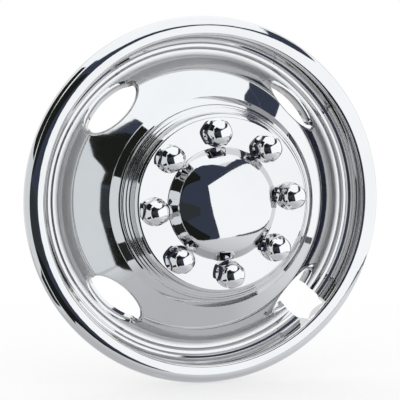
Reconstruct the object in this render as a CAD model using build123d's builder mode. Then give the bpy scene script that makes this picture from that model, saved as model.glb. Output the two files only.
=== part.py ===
"""Front wheel simulator for a dual-wheel truck: a pressed stainless wheel cover with eight acorn lug-nut caps.

Millimetres. The wheel's axis is Y, the face looks along -Y, +Z is up and the origin is on the axis,
in the plane where the turned-in lip of the rim seats against the wheel.
"""

from build123d import *
import math
import os

# Sheet and rim
rim_diameter = 444.0
sheet = 0.8
lip_width = 5.0
roll_radius = 15.5
roll_turn = 108.0
roll_facets = 4

# Groove behind the rim, from the roll inwards, as radial runs and depths
wall_run = 5.7
wall_foot_depth = 16.0
ledge_width = 11.6
ledge_fall = 6.0
floor_width = 10.4
floor_fall = 2.0
groove_run = 9.5
groove_rise = 24.5

# Disc cone, shelf and raised lug pad, as margins outside the bolt circle and heights in front of the seat
bolt_circle = 165.1
lug_count = 8
lug_start_angle = 95.4
disc_margin = 43.45
disc_height = 30.3
shelf_margin = 35.75
shelf_height = 41.2
shelf_run = 10.6
shelf_rise = 7.8
pad_margin = 19.9
lug_face_height = 67.0

# Hub, as margins inside the bolt circle
hub_base_margin = 16.85
hub_shoulder_run = 9.7
hub_shoulder_height = 13.5
hub_dome_rise = 12.5
hub_crown_radius = 118.0
hub_flat_radius = 14.0
hub_facets = 2

# Hand holes with turned-in lips, and the valve notch that opens one of them outwards
hand_hole_count = 4
hand_hole_angle = 46.0
hand_hole_length = 78.0
hand_hole_width = 27.0
hand_hole_inset = 3.0
hand_hole_lip = 7.0
notch_angle = 315.3
notch_width = 39.0
notch_inset = 2.0
notch_corner = 14.0

# Acorn lug-nut caps, each a hex body under a round crown, with a hex socket for the wheel's own nut
cap_across_flats = 28.0
cap_height = 27.0
cap_crown_radius = 16.8
cap_facets = 2
socket_across_flats = 22.4
socket_depth = 17.0
lug_hole_clearance = 0.4
cap_turns = (57, 46, 22, 12, 20, 49, 25, 22)

# Radii and depths that follow from them, with Y positive towards the wheel
rim_radius = rim_diameter / 2
roll_centre = rim_radius - roll_radius
bolt_radius = bolt_circle / 2
ledge_depth = wall_foot_depth + ledge_fall
floor_depth = ledge_depth + floor_fall
shelf_radius = bolt_radius + shelf_margin
hub_top_radius = bolt_radius - hub_base_margin - hub_shoulder_run
hub_top_height = lug_face_height + hub_shoulder_height
lug_hole_radius = socket_across_flats / math.sqrt(3) + lug_hole_clearance
through = 2 * rim_radius


def chords(curve, facets):
    """Points that divide a round stretch into equal flats."""
    return [curve @ (i / facets) for i in range(facets + 1)]


def polar(radius, angle):
    """A place on the face, at an angle that grows anticlockwise from +X as the face is seen."""
    return (radius * math.cos(math.radians(angle)), radius * math.sin(math.radians(angle)))


# Rim: the lip, the roll and the foot of its inner wall
roll = CenterArc((roll_centre, 0), roll_radius, 0, -roll_turn)
wall_foot = Vector((roll @ 1).X - wall_run, wall_foot_depth)
rim_line = [Vector(rim_radius - lip_width, 0), *chords(roll, roll_facets)]

# Groove and disc, from the foot of the rim's wall to the inner edge of the disc
ledge_end = Vector(wall_foot.X - ledge_width, ledge_depth)
floor_end = Vector(ledge_end.X - floor_width, floor_depth)
crease = Vector(floor_end.X - groove_run, floor_depth - groove_rise)
disc_foot = Vector(bolt_radius + disc_margin, -disc_height)
groove_line = [wall_foot, ledge_end, floor_end, crease, disc_foot]

# Shelf, lug pad and hub, from the shelf's outer edge to the flat of the hub's crown
hub_top = Vector(hub_top_radius, -hub_top_height)
hub_flat = Vector(hub_flat_radius, -hub_top_height - hub_dome_rise)
hub_crown = RadiusArc(hub_top, hub_flat, hub_crown_radius)
pad_line = [
    Vector(shelf_radius, -shelf_height),
    Vector(shelf_radius - shelf_run, -shelf_height - shelf_rise),
    Vector(bolt_radius + pad_margin, -lug_face_height),
    Vector(bolt_radius - hub_base_margin, -lug_face_height),
    *chords(hub_crown, hub_facets),
    Vector(0, hub_flat.Y),
]

# Hand-hole lips: elliptical collars that follow the skin backwards
hand_hole_radius = crease.X - hand_hole_inset
lip_back = [point + Vector(0, hand_hole_lip) for point in groove_line]
with BuildPart() as hand_hole_lips:
    with BuildSketch():
        with BuildLine():
            Polyline(*groove_line, *reversed(lip_back), close=True)
        make_face()
    revolve(axis=Axis.Y)
    with BuildSketch(Plane.XZ):
        with PolarLocations(hand_hole_radius, hand_hole_count, start_angle=hand_hole_angle):
            Ellipse(hand_hole_width / 2 + sheet, hand_hole_length / 2 + sheet)
            Ellipse(hand_hole_width / 2, hand_hole_length / 2, mode=Mode.SUBTRACT)
    extrude(amount=through, both=True, mode=Mode.INTERSECT)

# Wheel liner: one skin line from the seat to the hub's crown, thickened and turned about the axis
notch_radius = wall_foot.X + notch_inset
with BuildPart() as wheel_liner:
    with BuildSketch():
        with BuildLine():
            Polyline(*rim_line, *groove_line, *pad_line)
            offset(amount=sheet, side=Side.RIGHT, kind=Kind.INTERSECTION)
        make_face()
    revolve(axis=Axis.Y)
    with BuildSketch(Plane.XZ):
        with PolarLocations(hand_hole_radius, hand_hole_count, start_angle=hand_hole_angle):
            Ellipse(hand_hole_width / 2 + sheet / 2, hand_hole_length / 2 + sheet / 2)
        with PolarLocations(bolt_radius, lug_count, start_angle=lug_start_angle):
            Circle(lug_hole_radius)
    extrude(amount=through, both=True, mode=Mode.SUBTRACT)
    add(hand_hole_lips.part)
    with BuildSketch(Plane.XZ):
        with PolarLocations((hand_hole_radius + notch_radius) / 2, 1, start_angle=notch_angle):
            RectangleRounded(notch_radius - hand_hole_radius, notch_width, notch_corner)
    extrude(amount=through, both=True, mode=Mode.SUBTRACT)

# One acorn cap at the origin, its base in the XZ plane, with a crown that starts at the hex's corners
cap_corner = cap_across_flats / math.sqrt(3)
crown_start = math.degrees(math.acos(cap_corner / cap_crown_radius))
cap_crown = CenterArc((0, cap_crown_radius - cap_height), cap_crown_radius, -crown_start, crown_start - 90)
with BuildPart() as lug_cap:
    with BuildSketch(Plane.XZ):
        RegularPolygon(cap_across_flats / 2, 6, major_radius=False)
    extrude(amount=cap_height)
    with BuildSketch():
        with BuildLine():
            Polyline((cap_corner, 0), *chords(cap_crown, cap_facets), (0, 0), close=True)
        make_face()
    revolve(axis=Axis.Y, mode=Mode.INTERSECT)
    with BuildSketch(Plane.XZ):
        RegularPolygon(socket_across_flats / 2, 6, major_radius=False)
    extrude(amount=socket_depth, mode=Mode.SUBTRACT)

# Eight caps round the bolt circle, each left at its own turn
with BuildPart() as lug_nut_caps:
    for index, turn in enumerate(cap_turns):
        x, z = polar(bolt_radius, lug_start_angle - index * 360 / lug_count)
        with Locations(Location((x, -lug_face_height, z), (0, -turn, 0))):
            add(lug_cap.part)

os.makedirs("parts", exist_ok=True)
wheel_liner.part.label = "wheel_liner"
export_step(wheel_liner.part, "parts/wheel_liner.step")
lug_nut_caps.part.label = "lug_nut_caps"
export_step(lug_nut_caps.part, "parts/lug_nut_caps.step")
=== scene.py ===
"""Looks of the wheel simulator.

A mirror-polished pressed liner with rolled hand holes, eight chrome acorn caps, and the studio they reflect.
"""
import math

import bpy
import numpy as np
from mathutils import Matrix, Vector


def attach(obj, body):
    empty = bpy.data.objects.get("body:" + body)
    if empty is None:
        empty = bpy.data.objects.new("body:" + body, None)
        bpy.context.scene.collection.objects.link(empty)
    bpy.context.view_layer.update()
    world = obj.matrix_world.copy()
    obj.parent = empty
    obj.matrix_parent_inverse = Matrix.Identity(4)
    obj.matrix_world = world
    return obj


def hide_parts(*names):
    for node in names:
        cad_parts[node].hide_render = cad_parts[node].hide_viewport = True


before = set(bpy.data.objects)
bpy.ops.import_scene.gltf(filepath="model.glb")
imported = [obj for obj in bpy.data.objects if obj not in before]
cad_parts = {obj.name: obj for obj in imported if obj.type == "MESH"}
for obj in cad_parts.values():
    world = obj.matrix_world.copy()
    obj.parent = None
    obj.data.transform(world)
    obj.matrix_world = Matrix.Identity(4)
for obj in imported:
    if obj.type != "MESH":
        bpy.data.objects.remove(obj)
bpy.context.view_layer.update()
MM = 0.001

# Sheet and rim, in millimetres as in the part's source, with Y positive towards the wheel
RIM_R = 222.0
SHEET = 0.8
LIP_WIDTH = 5.0
LIP_ROUND = 0.4
RIM_ROUND = 0.3

# Bends as distance from the axis, depth and radius, negative for a hollow, and the skin's first and last tilt
OUTER_BEND, OUTER_TILTS = (208.7, -1.3, 13.3), (90, 34.8)
CROWN, CROWN_TILTS = (205.7, 3.0, 18.5), (33, -12.9)
INNER_BEND, INNER_TILTS = (202.7, -10.35, 4.8), (-20, -86)
VALLEY, VALLEY_TILTS = (179.0, 17.2, -6.8), (0, 68)
BEND_POINTS = 24
INNER_BEND_POINTS = 20
BEND_ROUND = 0.5

# Ledge between the rim's wall and the groove's floor, as corners with how far each is rounded
LEDGE = (
    (196.9, 13.0, 0.6),
    (195.4, 15.2, 0.4),
    (191.9, 16.6, 0.3),
    (190.1, 18.7, 0.3),
    (186.4, 19.2, 0.3),
    (183.6, 23.7, 0.35),
)

# Disc, from the crease at the groove to its inner foot, and the fine steps of the shelf
CREASE = (164.5, -0.5)
DISC_FOOT = (125.8, -30.4)
DISC_RADIUS = 600.0
DISC_POINTS = 40
DISC_ROUND = 0.4
SHELF = (
    (118.3, -40.0),
    (115.7, -41.7),
    (114.6, -44.2),
    (113.1, -44.9),
    (111.3, -47.3),
    (109.8, -47.9),
    (108.0, -50.1),
    (106.2, -50.8),
)
SHELF_ROUND = 0.3

# Lug pad, as corners with how far each is rounded, and the domed hub
LUG_FACE_Y = -67.0
PAD = ((104.5, -63.3, 0.7), (101.0, LUG_FACE_Y, 1.0), (65.7, LUG_FACE_Y, 0.7))
LUG_COUNT = 8
BOLT_R = 82.55
LUG_ANGLE = 95.4
LUG_HOLE_R = 13.33
LUG_HOLE_SIDES = 48
HUB_TOP = (56.0, -80.5)
HUB_RADIUS = 131.69
HUB_POINTS = 40
HUB_ROUND = 1.6

# Sampling of the skin line, and the radii between which each radius has one depth
SKIN_STEP = 0.1
SKIN_LEAD = 4.0
SKIN_MIRRORED = 10
ROUND_REACH = 4
FACE_SPAN = (106, 196.5)

# Rows of the liner's mesh: the most that the direction strays, in degrees, and the longest run
COLUMNS = 240
FRONT_STRAY, FRONT_RUN = 0.4, 12.0
BACK_STRAY, BACK_RUN = 4.0, 20.0
MOST_STRAYS = 20

# Normals: every second sample is matched, a block of vertices at a time, and cut edges keep their own
MATCH_EVERY = 2
MATCH_BLOCK = 4000
CUT_EDGE = 0.7
SHARP = math.radians(35)

# Hand holes, as the outline where the sheet starts to turn in, with pairs for the disc and groove sides
HOLE_COUNT = 4
HOLE_ANGLE = 46.0
HOLE_R = 161.0
HOLE_HALF_LENGTH = 42.5
HOLE_HALF_WIDTH = 17.0
HOLE_SIDES = 160
HOLE_BEND = (4.2, 6.2)
HOLE_LIP = (3.0, 5.5)
HOLE_LIP_TILT = (90.0, 48.0)

# Mesh of a hand hole's lip, which overlaps the skin a little and stands just clear of it
LIP_COLUMNS = 480
LIP_LEAST_TILT = -12
LIP_SLOPE_REACH = 0.4
LIP_SPREAD, LIP_SPREAD_REACH = 8, 24
LIP_OVERLAP = (-0.9, -0.45)
LIP_LIFT = 0.012
LIP_BEND_ROWS = 11
LIP_RUN_ROWS = (0.5, 1.0)

# Valve notch, and the depths between which each opening is cut
NOTCH_ANGLE = 315.3
NOTCH_HALF_WIDTH = 19.5
NOTCH_OUTER_R = 198.0
NOTCH_CORNER = 7.0
NOTCH_CORNER_POINTS = 13
NOTCH_ROOM = 0.05
HOLE_CUT = (-60, 60)
LUG_HOLE_CUT = (-75, -60)
NOTCH_CUT = (-13, 60)

# Acorn caps
CAP_FLATS = 28.0
CAP_HEIGHT = 27.0
CAP_CROWN_R = 17.0
CAP_CROWN_TALL = 19.6
CAP_CORNER = 1.2
CAP_EDGE = 0.9
CAP_FLANGE_R = 16.5
CAP_FLANGE_EDGE = 1.0
CAP_FLANGE_SLOPE = 1.35
CAP_FLANGE_CHAMFER = (0.4, 0.3)
CAP_SOCKET_FLATS = 22.4
CAP_SOCKET_DEPTH = 17.0
CAP_TURNS = (57, 46, 22, 12, 20, 49, 25, 22)

# Mesh of a cap: degrees of one flat with the columns in each stretch, and shares of the way up each part
CAP_COLUMNS = ((0, 2.6, 6), (2.6, 8, 4), (8, 52, 15), (52, 57.4, 4), (57.4, 60, 6))
CAP_FLANGE_ROWS = (0.3, 0.6, 1.0)
CAP_SIDE_ROWS = (0.25, 0.5, 0.75, 0.95)
CAP_EDGE_ROWS = np.linspace(0, 1, 7)
CAP_CROWN_ROWS = np.linspace(0.03, 0.985, 20)
HEX_HALF, HEX_STEP = math.pi / 6, math.pi / 3


def around(count):
    """Equal angles round a full turn."""
    return np.linspace(0, 2 * math.pi, count, endpoint=False)


def polar(r, degrees):
    """A place on the face, as X and Z."""
    return np.array([r * math.cos(math.radians(degrees)), r * math.sin(math.radians(degrees))])


def lug_place(index):
    """The middle of a lug, counted clockwise from the top as the face is seen."""
    return polar(BOLT_R, LUG_ANGLE - 360 / LUG_COUNT * index)


def swept(circle, tilts, count):
    """Points of a bend between two tilts of the skin, in degrees from straight ahead towards the rim."""
    r, y, radius = circle
    angles = np.radians(np.linspace(*tilts, count))
    return [(r + radius * math.sin(a), y - radius * math.cos(a)) for a in angles]


def bulged(start, end, radius, count):
    """Points of a shallow arc that bulges towards the viewer."""
    (ax, ay), (bx, by) = start, end
    run = math.hypot(bx - ax, by - ay)
    half = math.asin(run / 2 / radius)
    points = []
    for a in np.linspace(-half, half, count):
        along = 0.5 + math.sin(a) * radius / run
        rise = radius * (math.cos(a) - math.cos(half))
        r = ax + (bx - ax) * along + rise * (ay - by) / run
        y = ay + (by - ay) * along + rise * (bx - ax) / run
        points.append((r, y))
    return points


def rounded(points, amount):
    """Points as corners that share one rounding."""
    return [(*p, amount) for p in points]


def profile_keys():
    """The skin line from the lip to the hub's apex, as corners with how far each is rounded."""
    keys = [(RIM_R - LIP_WIDTH, 0.0, LIP_ROUND), (RIM_R, 0.0, RIM_ROUND)]
    keys += rounded(swept(OUTER_BEND, OUTER_TILTS, BEND_POINTS), BEND_ROUND)
    keys += rounded(swept(CROWN, CROWN_TILTS, BEND_POINTS), BEND_ROUND)
    keys += rounded(swept(INNER_BEND, INNER_TILTS, INNER_BEND_POINTS), BEND_ROUND)
    keys += LEDGE
    keys += rounded(swept(VALLEY, VALLEY_TILTS, BEND_POINTS), BEND_ROUND)
    keys += rounded(bulged(CREASE, DISC_FOOT, DISC_RADIUS, DISC_POINTS), DISC_ROUND)
    keys += rounded(SHELF, SHELF_ROUND)
    keys += PAD
    hub = bulged(HUB_TOP, (-HUB_TOP[0], HUB_TOP[1]), HUB_RADIUS, 2 * HUB_POINTS + 1)
    keys += rounded([HUB_TOP, *hub[1:HUB_POINTS + 1]], HUB_ROUND)
    return np.array(keys)


def dense_profile():
    """The skin line with its corners rounded as a pressed sheet's are, evenly and closely sampled."""
    keys = profile_keys()
    mirrored = keys[-2:-2 - SKIN_MIRRORED:-1] * np.array([-1, 1, 1])
    lead = keys[0] + np.array([-SKIN_LEAD, 0, 0])
    keys = np.vstack([lead, keys, mirrored])
    runs = np.hypot(*np.diff(keys[:, :2], axis=0).T)
    s = np.concatenate([[0], np.cumsum(runs)])
    grid = np.arange(0, s[-1], SKIN_STEP)
    line = np.column_stack([np.interp(grid, s, keys[:, i]) for i in (0, 1)])
    sigma = np.interp(grid, s, keys[:, 2])
    reach = int(ROUND_REACH * sigma.max() / SKIN_STEP)
    offsets = np.arange(-reach, reach + 1)
    places = np.clip(np.arange(len(grid))[:, None] + offsets, 0, len(grid) - 1)
    weights = np.exp(-0.5 * (offsets * SKIN_STEP / sigma[:, None]) ** 2)
    weights /= weights.sum(axis=1, keepdims=True)
    smooth = np.einsum("ij,ijk->ik", weights, line[places])
    start = np.searchsorted(grid, SKIN_LEAD)
    stop = np.argmax(smooth[:, 0] <= 0)
    smooth = smooth[start:stop]
    smooth[-1, 0] = 0.0
    return smooth


def profile_normals(line):
    """Unit normals on the side that faces the viewer."""
    t = np.gradient(line, axis=0)
    t /= np.hypot(t[:, 0], t[:, 1])[:, None]
    return np.column_stack([-t[:, 1], t[:, 0]])


def thinned(line, normals, stray, run):
    """Indices of points between which the line's direction changes evenly enough to be blended."""
    angle = np.degrees(np.unwrap(np.arctan2(normals[:, 1], normals[:, 0])))
    s = np.concatenate([[0], np.cumsum(np.hypot(*np.diff(line, axis=0).T))])
    picks = [0]
    while picks[-1] < len(line) - 1:
        i = picks[-1]
        j = i + 1
        while j + 1 < len(line) and s[j + 1] - s[i] < run:
            turn = angle[j + 1] - angle[i]
            share = (s[i:j + 2] - s[i]) / (s[j + 1] - s[i])
            uneven = np.abs(angle[i:j + 2] - angle[i] - share * turn).max()
            if abs(turn) >= MOST_STRAYS * stray or uneven > stray:
                break
            j += 1
        picks.append(j)
    return np.array(picks)


SKIN = dense_profile()
SKIN_N = profile_normals(SKIN)
SKIN_N[-1] = (0, -1)
BACK = SKIN - SHEET * SKIN_N
BACK[-1, 0] = 0.0


def skin_depth(points):
    """Depth of the front skin at places on the face, from the pad's foot to the foot of the rim's wall."""
    low, high = FACE_SPAN
    face = SKIN[(SKIN[:, 0] < high) & (SKIN[:, 0] > low)]
    face = face[np.argsort(face[:, 0])]
    return np.interp(np.hypot(*points.T), face[:, 0], face[:, 1])


def new_object(name, verts, faces):
    """A smooth mesh object from points in millimetres."""
    mesh = bpy.data.meshes.new(name)
    mesh.from_pydata((np.asarray(verts) * MM).tolist(), [], faces)
    mesh.polygons.foreach_set("use_smooth", [True] * len(mesh.polygons))
    mesh.validate()
    obj = bpy.data.objects.new(name, mesh)
    bpy.context.scene.collection.objects.link(obj)
    return obj


def bands(rows, columns):
    """Faces of a grid of points, in rows that each close on themselves."""
    faces = []
    for low in range(0, (rows - 1) * columns, columns):
        high = low + columns
        for j in range(columns):
            k = (j + 1) % columns
            faces.append((low + j, low + k, high + k, high + j))
    return faces


def lathe(section, count):
    """Closed skin of a section that starts and ends on the axis, turned about it."""
    angles = around(count)
    r, y = section[1:-1, 0], section[1:-1, 1]
    n = len(r)
    depths = np.repeat(y[:, None], count, 1)
    rows = np.stack([np.outer(r, np.cos(angles)), depths, np.outer(r, np.sin(angles))], axis=2)
    verts = np.vstack([rows.reshape(-1, 3), [[0, section[0, 1], 0]], [[0, section[-1, 1], 0]]])
    faces = [(a, d, c, b) for a, b, c, d in bands(n, count)]
    first, last = n * count, n * count + 1
    for j in range(count):
        k = (j + 1) % count
        faces.append((first, j, k))
        faces.append((last, (n - 1) * count + k, (n - 1) * count + j))
    return verts, faces


def prism(outline, low, high):
    """A closed block with that outline in X and Z, for cutting."""
    n = len(outline)
    verts = [(x, low, z) for x, z in outline] + [(x, high, z) for x, z in outline]
    faces = [tuple(range(n)), tuple(range(2 * n - 1, n - 1, -1))]
    faces += [(i, i + n, (i + 1) % n + n, (i + 1) % n) for i in range(n)]
    return verts, faces


def joined(blocks):
    """Several vertex and face lists as one."""
    verts, faces = [], []
    for v, f in blocks:
        base = len(verts)
        verts += list(v)
        faces += [tuple(base + i for i in face) for face in f]
    return verts, faces


def hole_outline(index, t):
    """Points and inward directions on a hand hole's bend line, at the ellipse's own angles."""
    turn = HOLE_ANGLE + 360 / HOLE_COUNT * index
    radial, along = polar(1, turn), polar(1, turn + 90)
    a, b = HOLE_HALF_WIDTH, HOLE_HALF_LENGTH
    points = HOLE_R * radial + np.outer(a * np.cos(t), radial) + np.outer(b * np.sin(t), along)
    inward = -np.outer(np.cos(t) / a, radial) - np.outer(np.sin(t) / b, along)
    return points, inward / np.linalg.norm(inward, axis=1)[:, None]


def lug_outline(index):
    """The round hole behind a cap."""
    centre = lug_place(index)
    return [centre + LUG_HOLE_R * np.array([math.cos(a), math.sin(a)]) for a in around(LUG_HOLE_SIDES)]


def notch_outline():
    """The notch's rounded outline, from inside its hand hole to the rim's wall."""
    radial, along = polar(1, NOTCH_ANGLE), polar(1, NOTCH_ANGLE + 90)
    w, c, top = NOTCH_HALF_WIDTH, NOTCH_CORNER, NOTCH_OUTER_R
    quarter = np.linspace(0, math.pi / 2, NOTCH_CORNER_POINTS)
    points = [(HOLE_R, -w)]
    points += [(top - c + c * math.sin(a), -w + c - c * math.cos(a)) for a in quarter]
    points += [(top - c + c * math.cos(a), w - c + c * math.sin(a)) for a in quarter]
    points += [(HOLE_R, w)]
    return [tuple(u * radial + v * along) for u, v in points]


def cut(obj, blocks):
    """Takes closed blocks out of a piece."""
    cutter = new_object("cutter", *joined(blocks))
    modifier = obj.modifiers.new("cut", "BOOLEAN")
    modifier.operation = "DIFFERENCE"
    modifier.solver = "MANIFOLD"
    modifier.object = cutter
    bpy.context.view_layer.update()
    mesh = bpy.data.meshes.new_from_object(obj.evaluated_get(bpy.context.evaluated_depsgraph_get()))
    obj.modifiers.remove(modifier)
    old = obj.data
    obj.data = mesh
    bpy.data.meshes.remove(old)
    bpy.data.objects.remove(cutter)


def skin_normals(obj):
    """Sets the turned section's own normals on its skin, and leaves each face at a cut edge flat."""
    mesh = obj.data
    co = np.zeros(len(mesh.vertices) * 3)
    mesh.vertices.foreach_get("co", co)
    co = co.reshape(-1, 3) / MM
    r = np.hypot(co[:, 0], co[:, 2])
    samples = np.vstack([SKIN[::MATCH_EVERY], BACK[::MATCH_EVERY]])
    sample_normals = np.vstack([SKIN_N[::MATCH_EVERY], -SKIN_N[::MATCH_EVERY]])
    nearest = np.zeros(len(co), int)
    for i in range(0, len(co), MATCH_BLOCK):
        block = slice(i, i + MATCH_BLOCK)
        d = (r[block, None] - samples[:, 0]) ** 2 + (co[block, 1, None] - samples[:, 1]) ** 2
        nearest[block] = d.argmin(axis=1)
    n2 = sample_normals[nearest]
    safe = np.maximum(r, 1e-6)
    turned = np.column_stack([n2[:, 0] * co[:, 0] / safe, n2[:, 1], n2[:, 0] * co[:, 2] / safe])
    face_normals = np.zeros(len(mesh.polygons) * 3)
    mesh.polygons.foreach_get("normal", face_normals)
    face_normals = face_normals.reshape(-1, 3)
    loops = np.zeros(len(mesh.loops), int)
    mesh.loops.foreach_get("vertex_index", loops)
    totals = np.zeros(len(mesh.polygons), int)
    mesh.polygons.foreach_get("loop_total", totals)
    own = face_normals[np.repeat(np.arange(len(mesh.polygons)), totals)]
    wanted = turned[loops]
    away = np.einsum("ij,ij->i", wanted, own) < CUT_EDGE
    wanted[away] = own[away]
    mesh.normals_split_custom_set(wanted.tolist())


# Liner: the turned sheet, with the hand holes, lug holes and valve notch cut out of it
front_rows = thinned(SKIN, SKIN_N, FRONT_STRAY, FRONT_RUN)
back_rows = thinned(BACK, SKIN_N, BACK_STRAY, BACK_RUN)
liner_section = np.vstack([SKIN[front_rows][::-1], BACK[back_rows]])
liner = new_object("wheel_liner_skin", *lathe(liner_section, COLUMNS))
openings = [prism(hole_outline(i, around(HOLE_SIDES))[0], *HOLE_CUT) for i in range(HOLE_COUNT)]
openings += [prism(lug_outline(i), *LUG_HOLE_CUT) for i in range(LUG_COUNT)]
cut(liner, openings)
cut(liner, [prism(notch_outline(), *NOTCH_CUT)])
skin_normals(liner)
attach(liner, "root")
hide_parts("wheel_liner")


def lip_path(t, points, inward):
    """Rows across a lip, from the skin round its bend to its edge, as run inwards, depth and tilt."""
    ahead, behind = points + LIP_SLOPE_REACH * inward, points - LIP_SLOPE_REACH * inward
    slope = (skin_depth(ahead) - skin_depth(behind)) / (2 * LIP_SLOPE_REACH)
    first = np.maximum(np.arctan(slope), math.radians(LIP_LEAST_TILT))
    reach = LIP_SPREAD_REACH
    spread = np.exp(-0.5 * (np.arange(-reach, reach + 1) / LIP_SPREAD) ** 2)
    looped = np.concatenate([first[-reach:], first, first[:reach]])
    first = np.convolve(looped, spread / spread.sum(), "valid")
    rimward = 0.5 + 0.5 * np.cos(t)
    pairs = (HOLE_BEND, HOLE_LIP, HOLE_LIP_TILT)
    bend, length, tilt = [low + (high - low) * rimward for low, high in pairs]
    last = np.radians(tilt)
    skin = skin_depth(points)
    path = []
    for u in LIP_OVERLAP:
        path.append((np.full(len(t), u), skin_depth(points + u * inward) - LIP_LIFT, first))
    for f in np.linspace(0, 1, LIP_BEND_ROWS):
        a = first + f * (last - first)
        u = bend * (np.sin(a) - np.sin(first))
        y = skin + bend * (np.cos(first) - np.cos(a))
        path.append((u, y - LIP_LIFT * (1 - f), a))
    for f in LIP_RUN_ROWS:
        path.append((u + f * length * np.cos(last), y + f * length * np.sin(last), last))
    return path


def hole_lip(index):
    """The turned-in lip of a hand hole, in front and behind, closed off where the notch cuts it."""
    t = around(LIP_COLUMNS)
    points, inward = hole_outline(index, t)
    front, back = [], []
    for u, y, a in lip_path(t, points, inward):
        near = points + u[:, None] * inward
        front.append(np.column_stack([near[:, 0], y, near[:, 1]]))
        far = near - SHEET * np.sin(a)[:, None] * inward
        back.append(np.column_stack([far[:, 0], y + SHEET * np.cos(a), far[:, 1]]))
    rows = np.array(front + back[::-1])
    count, columns = len(rows), len(t)
    radial, along = polar(1, NOTCH_ANGLE), polar(1, NOTCH_ANGLE + 90)
    in_notch = (np.abs(points @ along) < NOTCH_HALF_WIDTH + NOTCH_ROOM) & (points @ radial > HOLE_R)
    faces, ends = [], []
    for j in range(columns):
        k = (j + 1) % columns
        if in_notch[j] != in_notch[k]:
            loop = tuple(i * columns + (k if in_notch[j] else j) for i in range(count))
            ends.append(loop if in_notch[j] else loop[::-1])
        if in_notch[j] or in_notch[k]:
            continue
        for i in range(count):
            h = (i + 1) % count
            faces.append((i * columns + j, i * columns + k, h * columns + k, h * columns + j))
    return rows.reshape(-1, 3), faces + ends


lips = []
for index in range(HOLE_COUNT):
    lip = new_object(f"hand_hole_lip_{index + 1}", *hole_lip(index))
    lip.data.set_sharp_from_angle(angle=SHARP)
    lips.append(lip)
    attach(lip, "root")


def hex_radius(a):
    """Distance from a cap's axis to its side at an angle, with rounded corners."""
    half = CAP_FLATS / 2
    local = (a + HEX_HALF) % HEX_STEP - HEX_HALF
    flat = half / np.cos(HEX_HALF - np.abs(local))
    corner = (half - CAP_CORNER) / math.cos(HEX_HALF)
    bend = corner * np.cos(local) + np.sqrt(np.maximum(CAP_CORNER**2 - (corner * np.sin(local)) ** 2, 0))
    limit = math.atan2(CAP_CORNER * math.sin(HEX_HALF), corner + CAP_CORNER * math.cos(HEX_HALF))
    return np.where(np.abs(local) < limit, bend, flat)


def cap_rows(a):
    """Rows up a cap from the edge of its flange to near its apex, as distances from its axis and heights."""
    side = hex_radius(a)
    inset, lift = CAP_FLANGE_CHAMFER
    rows = []
    for r, h in ((CAP_FLANGE_R - inset, 0.0), (CAP_FLANGE_R, lift), (CAP_FLANGE_R, CAP_FLANGE_EDGE)):
        rows.append((np.full_like(a, r), np.full_like(a, h)))
    for f in CAP_FLANGE_ROWS:
        r = CAP_FLANGE_R + f * (side - CAP_FLANGE_R)
        rows.append((r, CAP_FLANGE_EDGE + CAP_FLANGE_SLOPE * (CAP_FLANGE_R - r)))
    foot = rows[-1][1]
    centre = CAP_HEIGHT - CAP_CROWN_TALL
    taper = CAP_CROWN_TALL / CAP_CROWN_R
    root = np.sqrt(CAP_CROWN_R**2 - side**2)
    lean = math.pi / 2 - np.arctan2(taper * side, root)
    start = centre + taper * root - CAP_EDGE * np.tan(lean / 2)
    for f in CAP_SIDE_ROWS:
        rows.append((side, foot + f * (start - foot)))
    for f in CAP_EDGE_ROWS:
        turn = f * lean
        rows.append((side - CAP_EDGE * (1 - np.cos(turn)), start + CAP_EDGE * np.sin(turn)))
    widest = np.arcsin(np.clip(rows[-1][0] / CAP_CROWN_R, 0, 1))
    for f in CAP_CROWN_ROWS:
        p = widest * (1 - f)
        rows.append((CAP_CROWN_R * np.sin(p), centre + CAP_CROWN_TALL * np.cos(p)))
    return rows


def acorn_cap(name, index):
    """A hex cap whose flats run up into a round crown, open behind for the wheel's own nut."""
    flat = np.concatenate([np.linspace(low, high, n, endpoint=False) for low, high, n in CAP_COLUMNS])
    a = np.radians(np.concatenate([flat + 60 * k for k in range(6)]))
    rows = cap_rows(a)
    n, per = len(a), len(flat)
    verts = [p for r, h in rows for p in np.column_stack([r * np.cos(a), -h, r * np.sin(a)]).tolist()]
    apex = len(verts)
    verts.append([0, -CAP_HEIGHT, 0])
    faces = bands(len(rows), n)
    faces += [(apex - n + j, apex - n + (j + 1) % n, apex) for j in range(n)]
    base = len(verts)
    corner = CAP_SOCKET_FLATS / 2 / math.cos(HEX_HALF)
    hexagon = [(corner * math.cos(k * HEX_STEP), corner * math.sin(k * HEX_STEP)) for k in range(6)]
    for depth in (0.0, CAP_SOCKET_DEPTH):
        verts += [[x, -depth, z] for x, z in hexagon]
    for k in range(6):
        m = (k + 1) % 6
        faces.append((base + k, base + m, base + 6 + m, base + 6 + k))
        edge = [(k * per + j) % n for j in range(per, -1, -1)]
        faces.append((*edge, base + k, base + m))
    faces.append(tuple(base + 6 + k for k in range(6)))
    turn = math.radians(CAP_TURNS[index])
    c, s = math.cos(turn), math.sin(turn)
    x, z = lug_place(index)
    vx, vy, vz = np.array(verts).T
    placed = np.column_stack([x + c * vx - s * vz, LUG_FACE_Y + vy, z + s * vx + c * vz])
    cap = new_object(name, placed, faces)
    cap.data.set_sharp_from_angle(angle=SHARP)
    return cap


caps = []
for index in range(LUG_COUNT):
    cap = acorn_cap(f"lug_nut_cap_{index + 1}", index)
    caps.append(cap)
    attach(cap, "root")
    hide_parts("lug_nut_caps")

# Finish of the metal: each noise as its scale and detail, and the stretch of it that is used
BUFF, BUFF_USED = (2600, 2), (0.3, 0.7)
PATCHES, PATCHES_USED = (14, 4), (0.45, 0.75)
SPECKS, SPECKS_USED = (420, 3), (0.62, 0.78)
WAVES = (16, 1)
SOILED = 0.965

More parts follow.
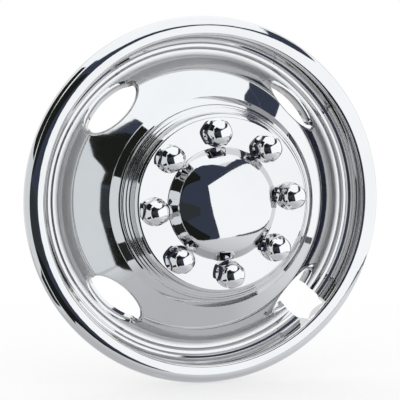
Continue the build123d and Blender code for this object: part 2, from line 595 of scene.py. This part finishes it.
# Satin zones, as metres from the axis where each starts, is full, fades and ends
GROOVE_ZONE = (0.1645, 0.1665, 0.1795, 0.183)
SHELF_ZONE = (0.104, 0.106, 0.1155, 0.117)
SHELF_SHARE = 0.25
GROOVE_SATIN = 0.36
STAINLESS = {
    "colour": (0.668, 0.668, 0.671),
    "roughness": 0.025,
    "haze": 0.035,
    "lines": 0.02,
    "wave": 0.00012,
}
CHROME = {
    "colour": (0.70, 0.70, 0.703),
    "roughness": 0.02,
    "haze": 0.025,
    "lines": 0.012,
    "wave": 0.00003,
}


def metal(name, colour, roughness, haze, lines, wave, satin=0.0):
    """Polished metal: patches of haze, the buff's fine lines round the axis, and the press's slight waves."""
    material = bpy.data.materials.new(name)
    material.use_nodes = True
    tree = material.node_tree
    nodes, link = tree.nodes, tree.links.new
    shader = nodes["Principled BSDF"]
    shader.inputs["Metallic"].default_value = 1
    place = nodes.new("ShaderNodeTexCoord")
    split = nodes.new("ShaderNodeSeparateXYZ")
    link(place.outputs["Object"], split.inputs[0])
    x, y, z = split.outputs

    def noise(scale, detail, source=None):
        node = nodes.new("ShaderNodeTexNoise")
        node.inputs["Scale"].default_value = scale
        node.inputs["Detail"].default_value = detail
        link(source or place.outputs["Object"], node.inputs["Vector"])
        return node.outputs["Fac"]

    def fed(node, values):
        for socket, value in zip(node.inputs, values):
            if isinstance(value, (int, float)):
                socket.default_value = value
            else:
                link(value, socket)
        return node.outputs[0]

    def maths(operation, *values):
        node = nodes.new("ShaderNodeMath")
        node.operation = operation
        return fed(node, values)

    def ranged(value, low, high, to_low=0, to_high=1):
        return fed(nodes.new("ShaderNodeMapRange"), (value, low, high, to_low, to_high))

    def zone(start, full, fade, end):
        return maths("MULTIPLY", ranged(from_axis, start, full), ranged(from_axis, fade, end, 1, 0))

    # Distance from the axis and depth, so that the buff's lines run round the wheel
    from_axis = maths("SQRT", maths("ADD", maths("MULTIPLY", x, x), maths("MULTIPLY", z, z)))
    turned_place = nodes.new("ShaderNodeCombineXYZ")
    link(from_axis, turned_place.inputs[0])
    link(y, turned_place.inputs[1])
    buffed = maths("MULTIPLY", ranged(noise(*BUFF, turned_place.outputs[0]), *BUFF_USED), lines)
    specks = maths("MULTIPLY", ranged(noise(*SPECKS), *SPECKS_USED), haze)
    soil = ranged(noise(*PATCHES), *PATCHES_USED)
    fine = maths("ADD", maths("ADD", buffed, specks), roughness)
    finish = maths("ADD", fine, maths("MULTIPLY", soil, haze))
    # The buff misses the groove, which keeps a satin finish, and reaches the shelf's steps only in part
    unbuffed = maths("ADD", zone(*GROOVE_ZONE), maths("MULTIPLY", zone(*SHELF_ZONE), SHELF_SHARE))
    link(maths("ADD", finish, maths("MULTIPLY", unbuffed, satin)), shader.inputs["Roughness"])
    tint = nodes.new("ShaderNodeMix")
    tint.data_type = "RGBA"
    tint.inputs["A"].default_value = (*colour, 1)
    tint.inputs["B"].default_value = (*[SOILED * c for c in colour], 1)
    link(soil, tint.inputs["Factor"])
    link(tint.outputs["Result"], shader.inputs["Base Color"])
    bump = nodes.new("ShaderNodeBump")
    bump.inputs["Strength"].default_value = 1
    bump.inputs["Distance"].default_value = wave
    link(noise(*WAVES), bump.inputs["Height"])
    link(bump.outputs[0], shader.inputs["Normal"])
    return material


stainless = metal("polished_stainless", **STAINLESS, satin=GROOVE_SATIN)
lip_finish = metal("polished_lips", **STAINLESS)
chrome = metal("cap_chrome", **CHROME)
liner.data.materials.clear()
for pieces, material in (([liner], stainless), (lips, lip_finish), (caps, chrome)):
    for obj in pieces:
        obj.data.materials.append(material)

# White floor and surroundings, with the paper lifted towards plain white where it is looked at
PAPER_HALF = 6000
PAPER_LIFT = 0.6
scene = bpy.context.scene
scene.view_settings.view_transform = "Standard"
corners = [(PAPER_HALF * x, PAPER_HALF * y, -RIM_R) for x, y in ((-1, -1), (1, -1), (1, 1), (-1, 1))]
floor = new_object("floor", corners, [(0, 1, 2, 3)])
paper = bpy.data.materials.new("floor_paper")
paper.use_nodes = True
tree = paper.node_tree
white = tree.nodes["Principled BSDF"]
white.inputs["Base Color"].default_value = (1, 1, 1, 1)
white.inputs["Roughness"].default_value = 1.0
white.inputs["Specular IOR Level"].default_value = 0.0
lift = tree.nodes.new("ShaderNodeEmission")
rays = tree.nodes.new("ShaderNodeLightPath")
seen = rays.outputs["Is Camera Ray"]
for ray in ("Is Glossy Ray", "Is Transmission Ray"):
    either = tree.nodes.new("ShaderNodeMath")
    either.operation = "MAXIMUM"
    tree.links.new(seen, either.inputs[0])
    tree.links.new(rays.outputs[ray], either.inputs[1])
    seen = either.outputs[0]
lifted = tree.nodes.new("ShaderNodeMath")
lifted.operation = "MULTIPLY"
lifted.inputs[1].default_value = PAPER_LIFT
tree.links.new(seen, lifted.inputs[0])
blend = tree.nodes.new("ShaderNodeMixShader")
for source, target in zip((lifted, white, lift), blend.inputs):
    tree.links.new(source.outputs[0], target)
tree.links.new(blend.outputs[0], tree.nodes["Material Output"].inputs["Surface"])
floor.data.materials.append(paper)
floor.visible_glossy = False
world = bpy.data.worlds.new("studio")
scene.world = world
world.use_nodes = True
world.node_tree.nodes["Background"].inputs["Color"].default_value = (1, 1, 1, 1)
world.node_tree.nodes["Background"].inputs["Strength"].default_value = 1.0

# Camera at the photograph's angle, in degrees, metres and millimetres of lens
CAMERA_YAW = -16.67
CAMERA_ELEVATION = 3.34
CAMERA_DISTANCE = 1.6
CAMERA_AIM = (0, -0.005, 0)
SENSOR = 36
LENS = 119.32
LENS_SHIFT = (-0.0184, 0.0018)


def look(azimuth, elevation):
    """A direction from the object, as degrees to the right of the camera and above the horizon."""
    a, e = math.radians(azimuth) + math.radians(CAMERA_YAW), math.radians(elevation)
    return np.array([math.sin(a) * math.cos(e), -math.cos(a) * math.cos(e), math.sin(e)])


def as_card(obj, colour):
    """Makes a piece a studio card that only the polished metal sees."""
    material = bpy.data.materials.new(obj.name)
    material.use_nodes = True
    shader = material.node_tree.nodes["Principled BSDF"]
    shader.inputs["Base Color"].default_value = (0, 0, 0, 1)
    shader.inputs["Specular IOR Level"].default_value = 0
    shader.inputs["Emission Color"].default_value = (*colour, 1)
    shader.inputs["Emission Strength"].default_value = 1
    obj.data.materials.append(material)
    obj.visible_camera = False
    obj.visible_diffuse = False
    obj.visible_transmission = False
    obj.visible_volume_scatter = False
    obj.visible_shadow = False
    return material


def card(name, corners, colour, distance):
    """A flat studio card with its corners in those directions."""
    ways = np.array([look(*c) for c in corners])
    middle = ways.mean(axis=0)
    middle /= np.linalg.norm(middle)
    verts = ways * (distance / (ways @ middle))[:, None]
    as_card(new_object(name, verts / MM, [tuple(range(len(corners)))]), colour)


# Colours of the studio, brighter than one where a softbox shines
NAVY = (0.049, 0.060, 0.094)
BLACK = (0.014, 0.0165, 0.0135)
SLATE = (0.040, 0.047, 0.052)
SOOT = (0.026, 0.027, 0.026)
LINE_GREY = (0.14, 0.152, 0.164)
SOFT = (1.34, 1.37, 1.39)
CEILING = (1.33, 1.37, 1.395)
PANEL = (0.894, 0.941, 0.976)
PANEL_FOOT = (0.64, 0.65, 0.673)

# Metres to the cards, so that the nearer of two that overlap is the one seen
INNER_AT, DARK_AT, LIGHT_AT, PANEL_FOOT_AT, PANEL_AT = 8.9, 9.0, 10.0, 10.9, 11.0

# Edges that neighbouring cards share
STEM_FLANK = [(-43, 15), (-44, 18), (-47, 22), (-50, 32), (-43, 36)]
STEM_BASE = [(16, -40), (4, -41.5), (-10, -41), (-22, -43), (-35, -49), (-42, -40)]
ARM_EDGE = [(12, 16.4), (40, 30), (69, 34.4)]
LINE_EDGE = [(135, -14.5), (111, -17.5), (92, -20.5), (86, -20), (80, -22.5)]

# The dark of the room: a stem behind the camera, its darker parts, and arms to the left and right
stem_right = [(12, 16.4), (14.4, 0), (18, -14), (29, -38)]
stem_left = [(-44, -20), (-44.8, -8), (-44.3, 4)]
stem_top = [(-40, 40), (-31, 50), (-24, 51), (-10, 44.5), (8, 39.2), (12, 38.9)]
card("card_stem", stem_right + STEM_BASE + stem_left + STEM_FLANK + stem_top, NAVY, DARK_AT)
core_below = [(4, 26), (4, -6), (-20, 4), (-44.2, 8)]
card("card_core", core_below + STEM_FLANK + [(-32, 42), (-10, 36)], BLACK, INNER_AT)
middle_below = [(4, -14), (-12, -20), (-44, -18), (-44.8, -8)]
card("card_middle", [(4, -6), *middle_below, (-44.2, 8), (-20, 4)], SLATE, INNER_AT)
card("card_foot", [(16, -36), *STEM_BASE, (-44, -18), (-12, -20)], BLACK, INNER_AT)
arm_left = [(-53, 13), (-83, 16.5), (-110, 19), (-110, 50), (-70, 56), (-53, 55)]
card("card_arm_left", arm_left, BLACK, DARK_AT)
card("card_low_left", [(-53, -27.5), (-95, -31), (-95, -42), (-53, -44.5)], SOOT, DARK_AT)
arm_top = [(95, 53), (89, 54), (80, 50), (69, 45), (50, 39.6), (35, 35), (20, 38.6), (10, 39)]
card("card_arm_right", [*ARM_EDGE, (95, 36), *arm_top], NAVY, DARK_AT)
card("card_far_right", [(95, 36), (135, 38), (135, 53), (95, 53)], NAVY, DARK_AT)
line_below = [(48, -34.5), (80, -25), (92, -24), (111, -20), (135, -17)]
card("card_line", [*line_below, *LINE_EDGE, (48, -33)], LINE_GREY, DARK_AT)

# The lights: softboxes to the right and above, and a pale panel to the left that greys towards its foot
softbox_below = [(80, -22.5), (60, -30), (48, -33.5), (29, -38), (18, -14), (14.4, 0)]
card("card_softbox", [*ARM_EDGE, (80, 35.2), *softbox_below], SOFT, LIGHT_AT)
card("card_softbox_far", [(80, 35.2), (95, 36), (135, 38), *LINE_EDGE], SOFT, LIGHT_AT)
card("card_panel_left", [(-28, 33), (-53, 33), (-110, 31), (-110, -42), (-28, -42)], PANEL, PANEL_AT)
STRIPS, STRIP_TOP, STRIP_TALL = 5, -37, 2.2
for i in range(STRIPS):
    greyed = (i + 0.5) / STRIPS
    colour = [(1 - greyed) * a + greyed * b for a, b in zip(PANEL, PANEL_FOOT)]
    top = STRIP_TOP - STRIP_TALL * i
    strip = [(-28, top), (-110, top), (-110, top - STRIP_TALL), (-28, top - STRIP_TALL)]
    card(f"card_panel_foot_{i + 1}", strip, colour, PANEL_FOOT_AT)
card("card_top", [(0, 30), (90, 30), (180, 30), (-90, 30)], CEILING, LIGHT_AT)

# Grey floor of the studio, seen only in the metal's reflections, with painted light that makes it paler to
# the right and towards the horizon
GROUND_RINGS = range(-88, -14, 4)
GROUND_SPOKES = range(0, 360, 10)
GROUND_DROP = 11000
GROUND_TONE, GROUND_LIGHT = 0.66, 0.37
GROUND_TINT = (0.97, 0.985, 1.02)
LIGHT_FROM, LIGHT_OVER, LIGHT_SIDE = -65, 35, 80
steps = [(az, el) for el in GROUND_RINGS for az in GROUND_SPOKES]
ways = np.array([look(az, el) for az, el in steps])
ground = ways * (GROUND_DROP / -ways[:, 2])[:, None]
studio_floor = new_object("card_floor", ground, bands(len(GROUND_RINGS), len(GROUND_SPOKES)))
paint = studio_floor.data.color_attributes.new("tone", "FLOAT_COLOR", "POINT")
for i, (az, el) in enumerate(steps):
    # Painted light: the tone rises towards the right and towards the horizon, where more light would fall
    near = min(max((el - LIGHT_FROM) / LIGHT_OVER, 0), 1)
    tone = GROUND_TONE + GROUND_LIGHT * near * (0.5 + 0.5 * math.cos(math.radians(az - LIGHT_SIDE)))
    paint.data[i].color = (*[c * tone for c in GROUND_TINT], 1)
tones = as_card(studio_floor, (1, 1, 1)).node_tree
attribute = tones.nodes.new("ShaderNodeAttribute")
attribute.attribute_name = "tone"
tones.links.new(attribute.outputs["Color"], tones.nodes["Principled BSDF"].inputs["Emission Color"])

# The camera itself
direction = Vector(look(0, CAMERA_ELEVATION))
camera_data = bpy.data.cameras.new("camera")
camera_data.sensor_width = SENSOR
camera_data.lens = LENS
camera_data.shift_x, camera_data.shift_y = LENS_SHIFT
camera = bpy.data.objects.new("camera", camera_data)
camera.location = direction * CAMERA_DISTANCE + Vector(CAMERA_AIM)
camera.rotation_euler = (-direction).to_track_quat("-Z", "Y").to_euler()
scene.collection.objects.link(camera)
scene.camera = camera
